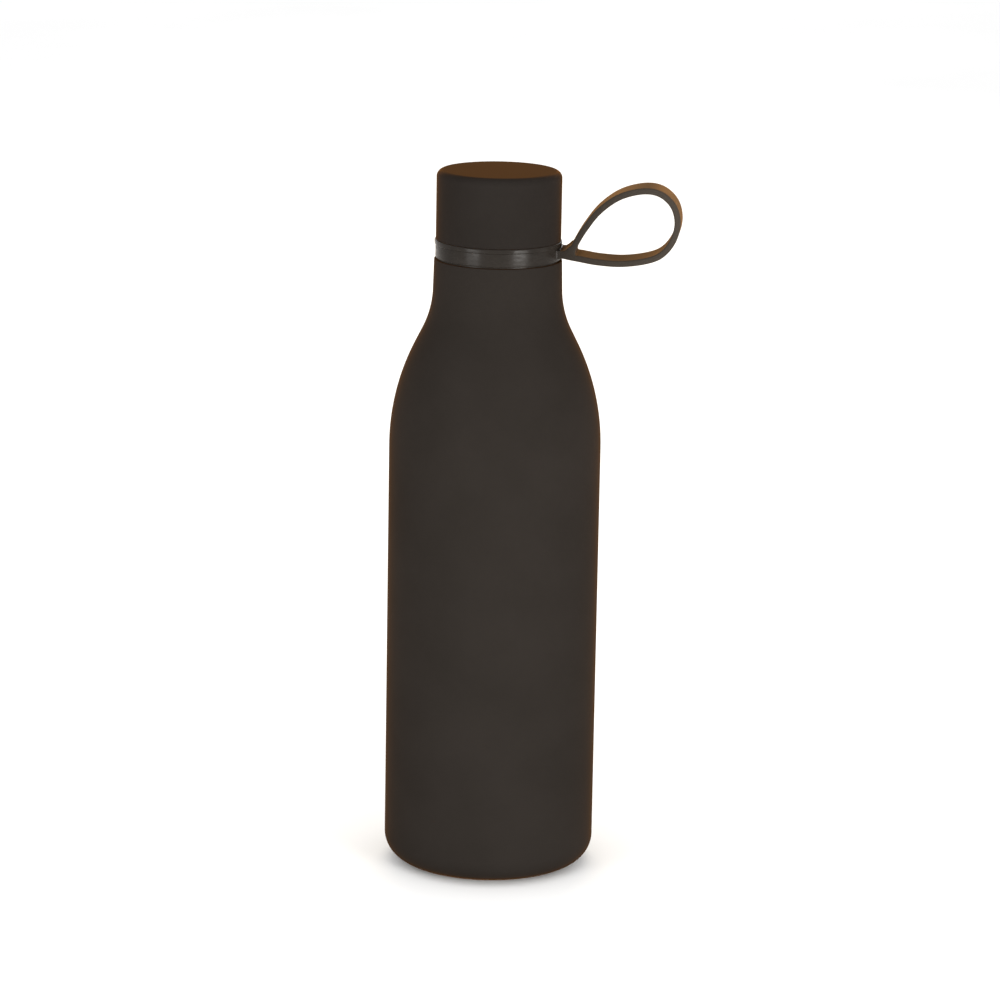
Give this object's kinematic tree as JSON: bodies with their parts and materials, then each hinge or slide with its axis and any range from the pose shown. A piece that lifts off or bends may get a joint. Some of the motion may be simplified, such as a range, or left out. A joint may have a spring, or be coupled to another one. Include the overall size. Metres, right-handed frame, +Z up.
{
  "type": "insulated water bottle",
  "caption": "Slim double-wall insulated bottle with a threaded neck, a flat-topped screw cap and a flexible carrying loop on a ring under the cap.",
  "frame": {"origin": "centre of the base pad's flat face, on the surface that the bottle stands on", "axes": "+Z up the bottle's axis to the cap, +X towards the side that the carrying loop hangs on, +Y completes the right-handed set"},
  "size_m": [0.0992, 0.073, 0.2443],
  "materials": {
    "shell_paint": "fine matte powder coat",
    "cover_paint": "fine matte powder coat",
    "pad_rubber": "matte",
    "seal_glass": "fused bead",
    "liner_steel": "satin",
    "foil_metal": "copper foil",
    "getter_metal": "sintered",
    "gasket_silicone": "satin silicone",
    "cap_plastic": "semi-gloss moulded",
    "cap_foam": "closed-cell foam",
    "ring_plastic": "satin moulded",
    "loop_rubber": "satin moulded elastomer"
  },
  "bodies": {
    "bottle": {"outer_shell": "shell_paint", "outer_base": "shell_paint", "base_pad": "pad_rubber", "vacuum_seal_bead": "seal_glass", "inner_liner": "liner_steel", "liner_base": "liner_steel", "heat_shield_foil": "foil_metal", "getter_holder": "liner_steel", "getter_pellet": "getter_metal"},
    "cap_seal": {"cap_gasket": "gasket_silicone"},
    "cap": {"cap_cover": "cover_paint", "cap_body": "cap_plastic", "cap_foam": "cap_foam"},
    "strap_band": {"strap_ring": "ring_plastic"},
    "strap_hoop": {"strap_loop": "loop_rubber"}
  },
  "joints": [
    {"name": "cap_rise", "type": "slide", "parent": "bottle", "child": "cap_seal", "axis": [0, 0, 1], "range_m": [0, 0.0215]},
    {"name": "cap_turn", "type": "hinge", "parent": "cap_seal", "child": "cap", "pos_m": [0, 0, 0.2137], "axis": [0, 0, 1], "range_deg": [0, 1530]},
    {"name": "strap_swivel", "type": "hinge", "parent": "cap", "child": "strap_band", "pos_m": [0, 0, 0.2137], "axis": [0, 0, 1], "continuous": true},
    {"name": "strap_flex", "type": "hinge", "parent": "strap_band", "child": "strap_hoop", "pos_m": [0.02429, -0.00234, 0.217], "axis": [-0.0958, -0.9954, 0], "range_deg": [-70, 30], "stiffness_Nm_per_rad": 0.03, "springref_deg": 2.29}
  ],
  "couplings": [
    {"joint": "cap_rise", "follows": "cap_turn", "m_per_rad": 0.00079577}
  ]
}
